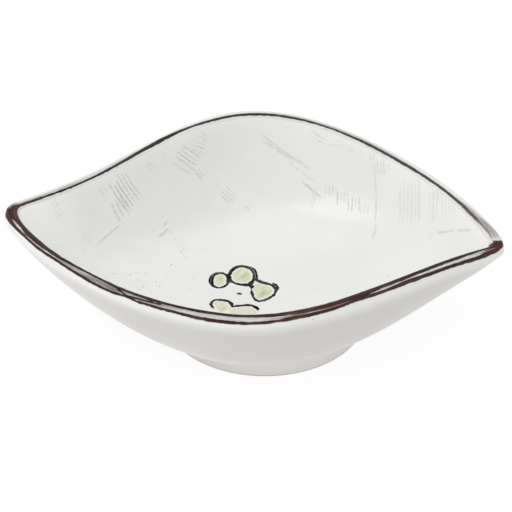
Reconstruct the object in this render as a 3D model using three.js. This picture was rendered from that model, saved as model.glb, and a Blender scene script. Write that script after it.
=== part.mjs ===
// A leaf-shaped sauce dish in glazed stoneware: a pinched bowl with two drawn-out points, a turned
// foot ring luted under it, and a coat of iron slip brushed over the lip.
// Millimetres, +Z up, the points on the X axis, standing on z = 0 with its box centred on the origin.

import * as THREE from 'three';

// The mouth in plan, measured to the inner edge of the lip.
const mouthLength = 146;
const farDepth = 50.4;
const nearDepth = 49.9;
const leftPointRadius = 7.5;
const rightPointRadius = 6.4;

// The lip seen from the side: its height at the two points, and how far each long side rises.
const leftPointHeight = 36.2;
const rightPointHeight = 30.8;
const farRise = 9.4;
const nearRise = 3.1;

// The lip's section: a level top, a small round on the inside and a broad shoulder outside.
const lipWidth = 2.65;
const lipRound = 0.7;
const shoulderReach = 1.2;
const shoulderDrop = 2.4;

// The floor and the foot.
const floorThickness = 4.4;
const seatRadius = 25.2;
const footHeight = 7.7;
const footRadius = 31.9;
const footWidth = 5;
const footBevel = 0.5;
const footOffsetX = 3.5;
const footOffsetY = 0;

// The slip over the lip, how far it runs down inside and round the shoulder, and the clearance
// that the separate pieces keep.
const bandThickness = 0.35;
const bandDepth = 1.4;
const bandWrap = Math.PI / 3;
const seatGap = 0.3;

// How each long side is pinched. Fullness is the power of the curve from the middle to a point;
// bulge, waist and twist push it out or in along its length; crest and crestLean shape the rise.
const farSide = {
  depth: farDepth, rise: farRise, fullness: 2.18,
  bulge: 0.366, waist: -0.124, twist: 0.048,
  crest: 3.65, crestLean: -1,
};
const nearSide = {
  depth: nearDepth, rise: nearRise, fullness: 1.775,
  bulge: 0.054, waist: -0.178, twist: 0.272,
  crest: 1.05, crestLean: -1,
};

// The wall leaves the floor level and steepens to the lip, as a power of the way out: the power
// at the long sides and at each point, and what the belly adds on both sides of the right point.
const sideWallCurve = 3.4;
const leftWallCurve = 3.05;
const rightWallCurve = 2.45;
const rightBelly = 0.85;
const wallRows = 12;
const columns = 120;

const turns = Array.from({ length: columns }, (_, i) => (2 * Math.PI * i) / columns);

// The inner edge of the lip: a leaf drawn by two powers of the cosine, with its points rounded.
function mouthEdge(turn) {
  const along = Math.cos(turn);
  const isFar = Math.sin(turn) >= 0;
  const side = isFar ? farSide : nearSide;
  const lean = isFar ? along : -along;
  const halfLength = mouthLength / 2;
  const pointRadius = along < 0 ? leftPointRadius : rightPointRadius;
  const meanRadius = (leftPointRadius + rightPointRadius) / 2;
  const radius = meanRadius + (pointRadius - meanRadius) * Math.abs(along);
  const rounding = (2 * halfLength * radius) / (side.depth ** 2 * side.fullness);
  const swell = 1 - Math.abs(along) ** side.fullness;
  const leaf = Math.sqrt(swell * (swell + rounding) / (1 + rounding));
  const pinch = 1 + lean * (side.bulge + lean * (side.waist + lean * side.twist));
  const pointHeight = THREE.MathUtils.lerp(leftPointHeight, rightPointHeight, (1 + along) / 2);
  const crest = Math.abs(Math.sin(turn)) ** (2 * side.crest);
  const rise = side.rise * crest * (1 + side.crestLean * lean);
  const depth = side.depth * leaf * pinch;
  return new THREE.Vector3(halfLength * along, isFar ? depth : -depth, pointHeight + rise);
}

// The level direction square to the lip, pointing away from the bowl.
function outward(turn) {
  const step = 1e-4;
  const ahead = mouthEdge(turn + step);
  const behind = mouthEdge(turn - step);
  return new THREE.Vector3(ahead.y - behind.y, behind.x - ahead.x, 0).normalize();
}

// A point of the lip's section: across runs from the inner edge outwards, down from the top.
function lipPoint(turn, across, down) {
  const point = mouthEdge(turn).addScaledVector(outward(turn), across);
  point.z -= down;
  return point;
}

// The round inside the lip, from the inner wall at angle 0 to the level top at a right angle;
// inset moves the point square into the clay.
function innerRound(turn, angle, inset) {
  const radius = lipRound - inset;
  return lipPoint(turn, lipRound - radius * Math.cos(angle), lipRound - radius * Math.sin(angle));
}

// The shoulder outside the lip, a quarter of an ellipse from the level top at angle 0 to the
// widest edge at a right angle.
function shoulder(turn, angle, inset) {
  const square = new THREE.Vector2(
    shoulderDrop * Math.sin(angle),
    shoulderReach * Math.cos(angle),
  ).setLength(inset);
  const across = lipWidth + shoulderReach * Math.sin(angle) - square.x;
  const down = shoulderDrop * (1 - Math.cos(angle)) + square.y;
  return lipPoint(turn, across, down);
}

// The upright section through the foot's axis and the widest edge at this turn.
function section(turn) {
  const edge = shoulder(turn, Math.PI / 2, 0);
  const axis = new THREE.Vector3(footOffsetX, footOffsetY, 0);
  const radial = new THREE.Vector3(edge.x - axis.x, edge.y - axis.y, 0);
  const edgeRadius = radial.length();
  radial.normalize();
  const isRight = Math.cos(turn) > 0;
  const pointCurve = isRight ? rightWallCurve : leftWallCurve;
  const belly = isRight ? rightBelly * Math.sin(2 * turn) ** 2 : 0;
  return {
    edge,
    axis,
    radial,
    spread: edgeRadius - seatRadius,
    climb: edge.z - footHeight,
    curve: THREE.MathUtils.lerp(sideWallCurve, pointCurve, Math.cos(turn) ** 2) + belly,
  };
}

// The bowl's underside and outer wall at this distance from the foot's axis.
function outside(turn, radius) {
  const { axis, radial, spread, climb, curve } = section(turn);
  const reach = Math.max(0, radius - seatRadius) / spread;
  const point = axis.clone().addScaledVector(radial, radius);
  point.z = footHeight + climb * reach ** curve;
  return point;
}

// The outer wall: reach 0 is the rim of the flat seat, reach 1 the widest edge.
function outerWall(turn, reach) {
  return outside(turn, seatRadius + section(turn).spread * reach);
}

// The inner wall: the outer one moved in square to itself, and at the top across to the mouth.
function innerWall(turn, reach) {
  const { edge, radial, spread, climb, curve } = section(turn);
  const slope = climb * curve * reach ** (curve - 1);
  const square = radial.clone().multiplyScalar(-slope);
  square.z = spread;
  const acrossLip = mouthEdge(turn).sub(edge);
  const thickness = THREE.MathUtils.lerp(floorThickness, acrossLip.length(), reach ** curve);
  square.setLength(thickness).lerp(acrossLip, reach ** 4);
  return outerWall(turn, reach).add(square);
}

// How far out the inner wall lies this far below the lip, found by halving.
function reachBelowLip(turn, down) {
  const height = mouthEdge(turn).z - down;
  let low = 0;
  let high = 1;
  for (let halving = 0; halving < 30; halving += 1) {
    const middle = (low + high) / 2;
    if (innerWall(turn, middle).z < height) low = middle;
    else high = middle;
  }
  return low;
}

// A closed skin through rings of points, each ring going once round the dish. With a pole at each
// end it is a solid body; without poles the last ring joins the first and it is a hoop.
function skinThrough(rings, startPole, endPole) {
  const points = rings.flat();
  const index = [];
  const at = (ring, column) => ring * columns + (column % columns);
  const bands = startPole ? rings.length - 1 : rings.length;
  for (let ring = 0; ring < bands; ring += 1) {
    const next = (ring + 1) % rings.length;
    for (let column = 0; column < columns; column += 1) {
      index.push(at(ring, column), at(ring, column + 1), at(next, column + 1));
      index.push(at(ring, column), at(next, column + 1), at(next, column));
    }
  }
  if (startPole) {
    const start = points.push(startPole) - 1;
    const end = points.push(endPole) - 1;
    const last = rings.length - 1;
    for (let column = 0; column < columns; column += 1) {
      index.push(start, at(0, column + 1), at(0, column));
      index.push(at(last, column), at(last, column + 1), end);
    }
  }
  const geometry = new THREE.BufferGeometry().setFromPoints(points);
  geometry.setIndex(index);
  return geometry;
}

const ringOf = (pointAt) => turns.map(pointAt);

// Steps out along the wall, closer together towards the lip where it is steep.
function wallSteps() {
  return Array.from({ length: wallRows + 1 }, (_, row) => {
    const part = row / wallRows;
    return part * (1.6 - 0.6 * part);
  });
}

const LEVEL = Math.PI / 2;
const inwardBy = (turn, distance) => outward(turn).multiplyScalar(distance);

// The clay body: flat seat, outer wall, the lip rebated for its slip, inner wall and floor.
function bowlGeometry() {
  const rebate = bandThickness + seatGap;
  const wrap = bandWrap + seatGap / (shoulderDrop * Math.sin(bandWrap));
  const hem = turns.map((turn) => reachBelowLip(turn, bandDepth + seatGap));
  const innerAt = (part) => turns.map((turn, i) => innerWall(turn, part * hem[i]));
  const steps = wallSteps();
  const underPole = new THREE.Vector3(footOffsetX, footOffsetY, footHeight);
  const floorPole = underPole.clone().setZ(footHeight + floorThickness);
  return skinThrough([
    ...steps.map((step) => ringOf((t) => outerWall(t, step))),
    ringOf((t) => shoulder(t, wrap, 0)),
    ringOf((t) => shoulder(t, wrap, rebate)),
    ringOf((t) => shoulder(t, wrap / 2, rebate)),
    ringOf((t) => shoulder(t, 0, rebate)),
    ringOf((t) => innerRound(t, LEVEL, rebate)),
    ringOf((t) => innerRound(t, 0, rebate)),
    innerAt(1).map((point, i) => point.add(inwardBy(turns[i], rebate))),
    ...steps.map(innerAt).reverse(),
  ], underPole, floorPole);
}

// The coat of slip: a thin hoop over the lip that wraps a little way down both sides.
function rimBandGeometry() {
  const hem = turns.map((turn) => innerWall(turn, reachBelowLip(turn, bandDepth)));
  return skinThrough([
    ringOf((t) => shoulder(t, bandWrap, 0)),
    ringOf((t) => shoulder(t, bandWrap / 2, 0)),
    ringOf((t) => shoulder(t, 0, 0)),
    ringOf((t) => innerRound(t, LEVEL, 0)),
    ringOf((t) => innerRound(t, LEVEL / 2, 0)),
    ringOf((t) => innerRound(t, 0, 0)),
    hem,
    hem.map((point, i) => point.clone().add(inwardBy(turns[i], bandThickness))),
    ringOf((t) => innerRound(t, 0, bandThickness)),
    ringOf((t) => innerRound(t, LEVEL / 2, bandThickness)),
    ringOf((t) => innerRound(t, LEVEL, bandThickness)),
    ringOf((t) => shoulder(t, 0, bandThickness)),
    ringOf((t) => shoulder(t, bandWrap / 2, bandThickness)),
    ringOf((t) => shoulder(t, bandWrap, bandThickness)),
  ]);
}

// The turned ring: flat and bevelled where it stands, its top following the bowl's underside.
function footRingGeometry() {
  const innerRadius = footRadius - footWidth;
  const ringAt = (radius, height) => ringOf((t) => outside(t, radius).setZ(height));
  const seated = (radius) => ringOf((t) => {
    const point = outside(t, radius);
    point.z -= seatGap;
    return point;
  });
  return skinThrough([
    ringAt(innerRadius + footBevel, 0),
    ringAt(footRadius - footBevel, 0),
    ringAt(footRadius, footBevel),
    seated(footRadius),
    seated(footRadius - footWidth / 2),
    seated(innerRadius),
    ringAt(innerRadius, footBevel),
  ]);
}

function piece(name, geometry, material) {
  const mesh = new THREE.Mesh(geometry, new THREE.MeshStandardMaterial(material));
  mesh.name = name;
  return mesh;
}

const rimBand = piece('rim_band', rimBandGeometry(), { color: 0x4b3a35, roughness: 0.35, metalness: 0 });
const bowl = piece('bowl', bowlGeometry(), { color: 0xe8e4dc, roughness: 0.25, metalness: 0 });
const footRing = piece('foot_ring', footRingGeometry(), { color: 0xcfc5bb, roughness: 0.6, metalness: 0 });

// The lip is the widest part, so its box centres the dish over the origin.
const centre = new THREE.Box3().setFromObject(rimBand).getCenter(new THREE.Vector3());
const dish = new THREE.Group();
dish.add(bowl, footRing, rimBand);
dish.position.set(-centre.x, -centre.y, 0);

export default dish;
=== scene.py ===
import math

import bpy
import numpy as np
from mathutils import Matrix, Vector


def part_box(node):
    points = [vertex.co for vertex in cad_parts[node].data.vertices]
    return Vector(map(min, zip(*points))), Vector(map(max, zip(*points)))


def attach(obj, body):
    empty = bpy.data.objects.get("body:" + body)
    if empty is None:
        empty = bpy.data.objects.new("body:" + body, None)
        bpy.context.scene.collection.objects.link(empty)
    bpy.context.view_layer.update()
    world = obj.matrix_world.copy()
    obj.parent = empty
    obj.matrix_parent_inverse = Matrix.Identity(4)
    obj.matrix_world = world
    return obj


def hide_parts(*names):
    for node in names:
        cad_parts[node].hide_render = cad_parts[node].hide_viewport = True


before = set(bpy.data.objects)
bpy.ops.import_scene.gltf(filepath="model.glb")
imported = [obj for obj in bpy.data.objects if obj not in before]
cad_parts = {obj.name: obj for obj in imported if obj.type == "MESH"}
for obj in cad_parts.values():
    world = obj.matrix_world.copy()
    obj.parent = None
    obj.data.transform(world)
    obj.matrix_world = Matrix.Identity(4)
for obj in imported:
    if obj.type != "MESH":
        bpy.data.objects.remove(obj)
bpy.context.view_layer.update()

# The clay body. One slab of pale stoneware, pressed into a leaf-shaped mould and pinched at its two
# points, so the long sides rise and fall by hand. Here it is one closed skin from the turned
# underside out along the wall, over the lip and back down to the floor.
MM = 0.001
LIP_WIDTH = 2.65
LIP_ROUND = 0.7
SHOULDER_REACH = 1.2
SHOULDER_DROP = 2.4
FLOOR_THICKNESS = 4.4
SEAT_RADIUS = 25.2
FOOT_OFFSET = np.array([3.5, 0])
LEFT_POINT_RADIUS = 7.5
RIGHT_POINT_RADIUS = 6.4
LEFT_POINT_HEIGHT = 36.2
RIGHT_POINT_HEIGHT = 30.8
FAR_SIDE = {
    "depth": 50.4, "rise": 9.4, "fullness": 2.18,
    "bulge": 0.366, "waist": -0.124, "twist": 0.048,
    "crest": 3.65, "crest_lean": -1,
}
NEAR_SIDE = {
    "depth": 49.9, "rise": 3.1, "fullness": 1.775,
    "bulge": 0.054, "waist": -0.178, "twist": 0.272,
    "crest": 1.05, "crest_lean": -1,
}
# Where the hand has left the near lip a little high or low: the turn there, how wide, and how much.
HAND_LIFTS = [(4.6, 0.17, 0.45), (5.06, 0.09, -0.12)]
SIDE_WALL_CURVE = 3.4
LEFT_WALL_CURVE = 3.05
RIGHT_WALL_CURVE = 2.45
RIGHT_BELLY = 0.85
BAND_DEPTH = 1.4
COLUMNS = 480

bowl_low, bowl_high = (np.array(corner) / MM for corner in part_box("bowl"))
foot_low, foot_high = (np.array(corner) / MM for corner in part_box("foot_ring"))
seat_height = bowl_low[2]
half_length = (bowl_high[0] - bowl_low[0]) / 2 - LIP_WIDTH - SHOULDER_REACH
foot_axis = (foot_low + foot_high) / 2 * [1, 1, 0]
mouth_centre = foot_axis[:2] - FOOT_OFFSET


def of_side(turn, word):
    """A side's value at each turn: the far side's where the sine is positive, else the near side's."""
    return np.where(np.sin(turn) >= 0, FAR_SIDE[word], NEAR_SIDE[word])


def mouth_edge(turn):
    """The inner edge of the lip. Along the dish it is the cosine of the turn. Across, it is the root
    of swell times swell plus rounding, where swell is one less a power of the cosine, pushed out or
    in by a cubic of the way along. Its height is a line between the points plus a power of the sine,
    and a bell curve for each place where the hand has left the lip a little high or low."""
    along = np.cos(turn)
    is_far = np.sin(turn) >= 0
    lean = np.where(is_far, along, -along)
    point_radius = np.where(along < 0, LEFT_POINT_RADIUS, RIGHT_POINT_RADIUS)
    mean_radius = (LEFT_POINT_RADIUS + RIGHT_POINT_RADIUS) / 2
    radius = mean_radius + (point_radius - mean_radius) * abs(along)
    depth = of_side(turn, "depth")
    fullness = of_side(turn, "fullness")
    rounding = 2 * half_length * radius / (depth**2 * fullness)
    swell = 1 - abs(along) ** fullness
    leaf = np.sqrt(swell * (swell + rounding) / (1 + rounding))
    twist = lean * (of_side(turn, "waist") + lean * of_side(turn, "twist"))
    pinch = 1 + lean * of_side(turn, "bulge") + lean * twist
    height = LEFT_POINT_HEIGHT + (RIGHT_POINT_HEIGHT - LEFT_POINT_HEIGHT) * (1 + along) / 2
    crest = abs(np.sin(turn)) ** (2 * of_side(turn, "crest"))
    rise = of_side(turn, "rise") * crest * (1 + of_side(turn, "crest_lean") * lean)
    for middle, width, lift in HAND_LIFTS:
        rise = rise + lift * np.exp(-(((turn - middle) / width) ** 2))
    across = np.where(is_far, 1, -1) * depth * leaf * pinch
    return np.stack([
        mouth_centre[0] + half_length * along,
        mouth_centre[1] + across,
        height + rise,
    ], -1)


def unit(vectors):
    """Each vector divided by its length."""
    return vectors / np.linalg.norm(vectors, axis=-1, keepdims=True)


def outward(turn):
    """The level direction square to the lip: the lip's own direction turned by a right angle."""
    step = 1e-4
    ahead = mouth_edge(turn + step) - mouth_edge(turn - step)
    return unit(np.stack([ahead[..., 1], -ahead[..., 0], 0 * ahead[..., 0]], -1))


def lip_point(turn, across, down):
    """A point this far outwards across the lip from its inner edge, and this far below it."""
    return mouth_edge(turn) + outward(turn) * np.asarray(across)[..., None] - np.stack(
        [0 * down, 0 * down, down], -1
    )


def shoulder(turn, angle):
    """A quarter of an ellipse outside the lip: level at angle 0, upright at a right angle."""
    across = LIP_WIDTH + SHOULDER_REACH * np.sin(angle)
    return lip_point(turn, across, SHOULDER_DROP * (1 - np.cos(angle)))


def wall_section(turn):
    """The upright section through the foot's axis: its level direction, how far and how high the
    wall goes beyond the seat, and the power of the way out at which it climbs."""
    edge = shoulder(turn, np.full_like(turn, math.pi / 2))
    radial = (edge - foot_axis) * [1, 1, 0]
    spread = np.linalg.norm(radial, axis=-1, keepdims=True) - SEAT_RADIUS
    climb = edge[..., 2:] - seat_height
    is_right = np.cos(turn) > 0
    point_curve = np.where(is_right, RIGHT_WALL_CURVE, LEFT_WALL_CURVE)
    belly = np.where(is_right, RIGHT_BELLY * np.sin(2 * turn) ** 2, 0)
    curve = SIDE_WALL_CURVE + (point_curve - SIDE_WALL_CURVE) * np.cos(turn) ** 2 + belly
    curve = curve[..., None]
    return edge, unit(radial), spread, climb, curve


def underside(turn, radius):
    """The bowl from below at this distance from the foot's axis: flat as far as the seat, then
    climbing with a power of the way out."""
    edge, radial, spread, climb, curve = wall_section(turn)
    reach = np.maximum(0, np.asarray(radius)[..., None] - SEAT_RADIUS) / spread
    height = seat_height + climb * reach**curve
    return foot_axis + radial * np.asarray(radius)[..., None] + height * [0, 0, 1]


def outer_wall(turn, reach):
    """The outer wall: reach 0 is the rim of the flat seat, reach 1 the widest edge."""
    spread = wall_section(turn)[2][..., 0]
    return underside(turn, SEAT_RADIUS + spread * reach)


def inner_wall(turn, reach):
    """The outer wall moved in square to itself by the wall's thickness, which is drawn over to the
    mouth's edge with the fourth power of the way out."""
    edge, radial, spread, climb, curve = wall_section(turn)
    reach = np.asarray(reach)[..., None]
    slope = climb * curve * reach ** (curve - 1)
    across_lip = mouth_edge(turn) - edge
    lip_thickness = np.linalg.norm(across_lip, axis=-1, keepdims=True)
    thickness = FLOOR_THICKNESS + (lip_thickness - FLOOR_THICKNESS) * reach**curve
    square = unit(spread * [0, 0, 1] - slope * radial) * thickness
    inset = square + (across_lip - square) * reach**4
    return outer_wall(turn, reach[..., 0]) + inset


def reach_below_lip(turn, down):
    """How far out the inner wall lies this far below the lip, found by halving."""
    height = mouth_edge(turn)[..., 2] - down
    low, high = np.zeros_like(turn), np.ones_like(turn)
    for _ in range(24):
        middle = (low + high) / 2
        below = inner_wall(turn, middle)[..., 2] < height
        low, high = np.where(below, middle, low), np.where(below, high, middle)
    return low


HEM_GIRTH = 1.65
TOP_GIRTH = LIP_WIDTH - LIP_ROUND
SHOULDER_GIRTH = 2.9
LIP_GIRTH = HEM_GIRTH + TOP_GIRTH + SHOULDER_GIRTH


def lip(turn, girth):
    """Over the lip by the distance from the hem inside: a parabola from the inner wall's own
    direction to the level top, the level top itself, and the shoulder's quarter ellipse."""
    hem = reach_below_lip(turn, BAND_DEPTH)
    start = inner_wall(turn, hem)
    climb = start - inner_wall(turn, hem - 0.01)
    top = lip_point(turn, np.full_like(turn, LIP_ROUND), 0 * turn)
    corner = start + climb * ((top - start)[..., 2:] / climb[..., 2:])
    part = np.clip(girth / HEM_GIRTH, 0, 1)[..., None]
    inside = (1 - part) ** 2 * start + 2 * part * (1 - part) * corner + part**2 * top
    level = outward(turn) * np.clip(girth - HEM_GIRTH, 0, TOP_GIRTH)[..., None]
    angle = np.clip((girth - HEM_GIRTH - TOP_GIRTH) / SHOULDER_GIRTH, 0, 1) * math.pi / 2
    outside = shoulder(turn, angle) - shoulder(turn, 0 * angle)
    return inside + level + outside


BAND_THICKNESS = 0.35
REBATE_MARGIN = 1.0
REBATE_RAMP = 0.5
LIP_RINGS = 33
lip_girths = np.linspace(0, LIP_GIRTH, LIP_RINGS)
band_girths = lip_girths[:-2]


def inset(girth, margin, ramp):
    """Nought at the band's two hems and one inside it: the smooth step 3xx - 2xxx of the distance
    past the margin over the ramp."""
    inside = np.minimum(girth, band_girths[-1] - girth) - margin
    part = np.clip(inside / ramp, 0, 1)
    return part**2 * (3 - 2 * part)


def raised(sheet, height):
    """A sheet of rings moved this far square to itself: the cross product of the steps to the
    neighbours over and along it gives the direction."""
    along = np.roll(sheet, -1, 1) - np.roll(sheet, 1, 1)
    over = np.gradient(sheet, axis=0)
    return sheet + unit(np.cross(over, along)) * height[..., None]


def skin(name, rings, poles=None, paint=None):
    """A closed mesh through rings of points in mm, each ring going once round the dish: it ends in
    two poles, or else the last ring joins the first. paint holds vector fields by name, with one
    vector for each point of the rings, and a pole takes the mean of the ring beside it."""
    count, columns = rings.shape[:2]
    points = rings.reshape(-1, 3)
    bands = count - 1 if poles else count
    ring, column = np.meshgrid(np.arange(bands), np.arange(columns), indexing="ij")
    corners = [(ring, column), (ring, column + 1), (ring + 1, column + 1), (ring + 1, column)]
    quads = np.stack([r % count * columns + c % columns for r, c in corners], -1)
    faces = quads.reshape(-1, 4).tolist()
    if poles:
        points = np.vstack([points, *poles])
        here = np.arange(columns)
        following = (here + 1) % columns
        last = (count - 1) * columns
        start, end = len(points) - 2, len(points) - 1
        faces += np.stack([np.full_like(here, start), following, here], -1).tolist()
        faces += np.stack([last + here, last + following, np.full_like(here, end)], -1).tolist()
    mesh = bpy.data.meshes.new(name)
    mesh.from_pydata((points * MM).tolist(), [], faces)
    mesh.polygons.foreach_set("use_smooth", [True] * len(faces))
    for field, vectors in (paint or {}).items():
        values = vectors.reshape(-1, 3)
        if poles:
            values = np.vstack([values, vectors[0].mean(0), vectors[-1].mean(0)])
        mesh.attributes.new(field, "FLOAT_VECTOR", "POINT").data.foreach_set("vector", values.ravel())
    piece = bpy.data.objects.new(name, mesh)
    bpy.context.scene.collection.objects.link(piece)
    return piece


turns = np.linspace(0, 2 * math.pi, COLUMNS, endpoint=False)


def rings(surface, steps):
    """A surface of turn and one other parameter, as one ring of points for each step."""
    grid = np.meshgrid(turns, steps)
    return surface(*grid)


SEAT_STEPS = 8
OUTER_STEPS = 40
INNER_STEPS = 60
FLOOR_STEPS = 44
lip_rings = rings(lip, lip_girths)
lip_girth_grid = np.repeat(lip_girths[:, None], COLUMNS, 1)
rebate = -BAND_THICKNESS * inset(lip_girth_grid, REBATE_MARGIN, REBATE_RAMP)
hem_reach = reach_below_lip(turns, BAND_DEPTH)
way_in = np.linspace(1, 0, INNER_STEPS + 1)[1:, None]
body_rings = np.concatenate([
    rings(underside, np.linspace(0, SEAT_RADIUS, SEAT_STEPS + 1)[1:-1]),
    rings(outer_wall, np.linspace(0, 1, OUTER_STEPS + 1)),
    raised(lip_rings, rebate)[-2::-1],
    inner_wall(np.tile(turns, (INNER_STEPS, 1)), way_in * hem_reach),
    rings(underside, np.linspace(SEAT_RADIUS, 0, FLOOR_STEPS + 1)[1:-1]) + [0, 0, FLOOR_THICKNESS],
])
seat_pole = foot_axis + [0, 0, seat_height]
floor_pole = seat_pole + [0, 0, FLOOR_THICKNESS]

# The painting under the glaze. A dry brush has left faint groups of grey-green hairs over the inside,
# and a five-petal blossom is drawn on the floor with a loaded one. All places are in mm from the
# foot's axis on the inside rolled out flat: each point keeps its direction and its way up the wall.
inside_out = np.concatenate([np.broadcast_to(floor_pole, (1, COLUMNS, 3)), body_rings[::-1]])
way = np.cumsum(np.linalg.norm(np.diff(inside_out, axis=0), axis=-1), 0)[::-1]
rolled_out = unit((body_rings - foot_axis)[..., :2]) * way[..., None]
HAIR_REACH = 90
BLOSSOM_REACH = 28
NO_STROKE = -9
FAR_AWAY = (100, NO_STROKE, 0)
has_hairs = way < HAIR_REACH
has_blossom = way < BLOSSOM_REACH

# Each mark: where the brush went down and came off, how many hairs it left, how far apart they
# are and how strongly they show. The short ones with one hair are flecks.
DRY_BRUSH_MARKS = [
    ((-60.5, 28.0), (-46.0, 24.0), 6, 1.35, 1.0),
    ((-56.0, 22.4), (-48.6, 19.0), 3, 1.9, 0.7),
    ((-63.8, 22.4), (-57.4, 20.8), 2, 1.4, 0.5),
    ((-49.4, 17.6), (-55.2, 7.2), 1, 1.6, 0.6),
    ((-61.6, 8.4), (-55.4, 7.4), 2, 0.9, 0.5),
    ((-74.8, 10.6), (-75.2, 7.4), 3, 1.4, 0.9),
    ((-71.6, 9.6), (-72.6, 6.4), 3, 1.2, 0.9),
    ((-68.4, 8.6), (-67.9, 8.0), 1, 0.9, 1.0),
    ((-41.2, 48.0), (-28.4, 46.8), 4, 1.5, 0.75),
    ((-41.2, 43.1), (-31.0, 42.9), 1, 1.4, 0.8),
    ((-30.4, 45.0), (-25.8, 43.0), 2, 1.2, 0.7),
    ((-37.0, 52.0), (-27.0, 52.6), 3, 1.3, 0.5),
    ((-34.0, 56.6), (-28.6, 56.2), 2, 1.1, 0.6),
    ((-51.8, 38.1), (-45.8, 37.5), 2, 0.9, 0.6),
    ((-47.2, 43.6), (-43.2, 43.8), 2, 0.9, 0.35),
    ((-18.4, 41.8), (-12.6, 38.8), 4, 1.1, 0.75),
    ((-21.8, 44.2), (-19.2, 43.0), 2, 0.9, 0.55),
    ((-9.8, 38.2), (-7.2, 36.8), 2, 0.8, 0.7),
    ((-37.0, 26.2), (-36.2, 25.6), 1, 1.7, 0.9),
    ((-34.2, 26.0), (-35.3, 23.0), 1, 1.5, 0.9),
    ((-33.1, 23.6), (-36.4, 18.4), 1, 1.5, 0.9),
    ((-32.0, 22.9), (-32.8, 21.6), 2, 1.0, 0.45),
    ((-31.0, 20.4), (-30.4, 19.8), 2, 1.0, 0.45),
    ((-26.2, 18.0), (-27.9, 14.0), 2, 0.8, 0.7),
    ((-20.0, 18.6), (-21.7, 15.4), 2, 0.9, 0.5),
    ((-47.7, -1.2), (-46.9, -0.8), 1, 1.6, 0.9),
    ((-43.2, 0.4), (-42.2, 0.8), 1, 1.4, 0.5),
    ((-40.9, 2.2), (-40.5, 1.0), 1, 1.4, 0.6),
    ((-38.3, 1.5), (-37.1, 1.9), 1, 1.6, 0.8),
    ((-37.2, 4.3), (-36.0, 4.5), 1, 1.4, 0.35),
    ((-39.8, -2.5), (-39.4, -1.5), 1, 1.6, 0.9),
    ((-38.1, -5.6), (-37.1, -5.2), 1, 1.6, 0.7),
    ((-36.9, -4.1), (-36.1, -3.7), 1, 1.4, 0.6),
    ((-34.1, -2.4), (-33.9, -1.2), 1, 1.6, 0.8),
    ((-33.2, -2.1), (-31.9, -1.6), 1, 1.4, 0.6),
    ((-32.0, -3.0), (-31.2, -2.6), 1, 1.4, 0.6),
    ((-33.0, -4.4), (-32.2, -3.9), 1, 1.7, 1.0),
    ((-34.9, -7.8), (-34.1, -7.4), 1, 1.5, 0.6),
    ((-38.9, -7.2), (-38.1, -6.8), 1, 1.6, 0.9),
    ((-41.7, -6.4), (-40.9, -6.0), 1, 1.4, 0.5),
    ((-32.6, -6.5), (-31.8, -6.1), 1, 1.4, 0.6),
    ((-31.5, 3.0), (-30.7, 3.4), 1, 1.4, 0.6),
    ((-30.7, 7.4), (-29.7, 7.9), 1, 1.7, 1.0),
    ((-29.2, 6.7), (-28.4, 7.1), 1, 1.4, 0.6),
    ((-28.3, 14.5), (-27.3, 14.9), 1, 1.7, 1.0),
    ((-26.9, 12.4), (-25.9, 13.1), 2, 1.2, 0.5),
    ((-23.2, 0.9), (-22.0, 1.1), 1, 1.4, 0.8),
    ((-23.3, -4.8), (-22.7, -4.6), 1, 1.4, 1.0),
    ((-6.4, 63.2), (15.2, 51.6), 1, 1.7, 0.7),
    ((-6.4, 61.5), (9.4, 54.2), 1, 1.4, 0.65),
    ((3.8, 55.4), (16.4, 47.2), 1, 1.4, 0.7),
    ((2.0, 58.8), (15.4, 51.0), 1, 1.2, 0.8),
    ((9.0, 49.0), (17.2, 42.7), 1, 1.4, 0.65),
    ((12.6, 65.6), (20.2, 60.6), 2, 1.3, 0.6),
    ((20.4, 61.2), (27.6, 59.6), 2, 1.2, 0.35),
    ((28.0, 57.9), (30.4, 57.6), 1, 1.1, 0.8),
    ((14.7, 48.2), (12.2, 38.8), 2, 1.0, 0.6),
    ((23.8, 45.4), (23.0, 40.0), 4, 1.2, 0.8),
    ((27.6, 42.8), (26.8, 37.0), 4, 1.2, 0.85),
    ((19.9, 47.6), (19.3, 43.4), 4, 1.2, 0.6),
    ((31.0, 39.6), (30.4, 35.6), 3, 1.2, 0.7),
    ((37.8, 54.6), (35.2, 38.4), 1, 1.2, 0.9),
    ((35.9, 43.0), (33.6, 30.0), 1, 1.4, 0.9),
    ((34.6, 32.6), (32.6, 23.0), 1, 1.3, 0.9),
    ((37.1, 55.2), (36.8, 52.4), 2, 1.0, 0.8),
    ((39.9, 52.4), (39.2, 46.6), 3, 1.2, 0.7),
    ((42.2, 50.2), (41.6, 47.0), 3, 1.0, 0.6),
    ((50.4, 43.6), (45.4, 25.4), 6, 1.6, 0.45),
    ((50.6, 48.0), (48.8, 44.6), 3, 1.2, 0.5),
    ((59.4, 37.0), (54.2, 20.6), 3, 1.4, 0.55),
    ((61.2, 33.4), (59.4, 27.6), 2, 1.4, 0.6),
    ((64.2, 29.0), (61.5, 21.4), 5, 1.4, 0.6),
    ((53.9, 20.2), (52.4, 17.2), 1, 3.0, 0.4),
    ((55.3, 19.1), (63.5, 14.7), 1, 2.4, 0.5),
    ((62.5, 15.2), (69.1, 11.1), 1, 2.6, 0.75),
    ((71.8, 11.2), (70.0, 9.2), 1, 1.2, 0.5),
]
MARK_LAYERS = 4
MARK_FADE = 0.4
MARK_APART = 2.2
LANES_EACH = 20


def over_body(is_here, values, elsewhere):
    """These vectors where they belong, and one other vector on the rest of the body."""
    field = np.full(body_rings.shape, elsewhere, float)
    field[is_here] = values
    return field


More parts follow.
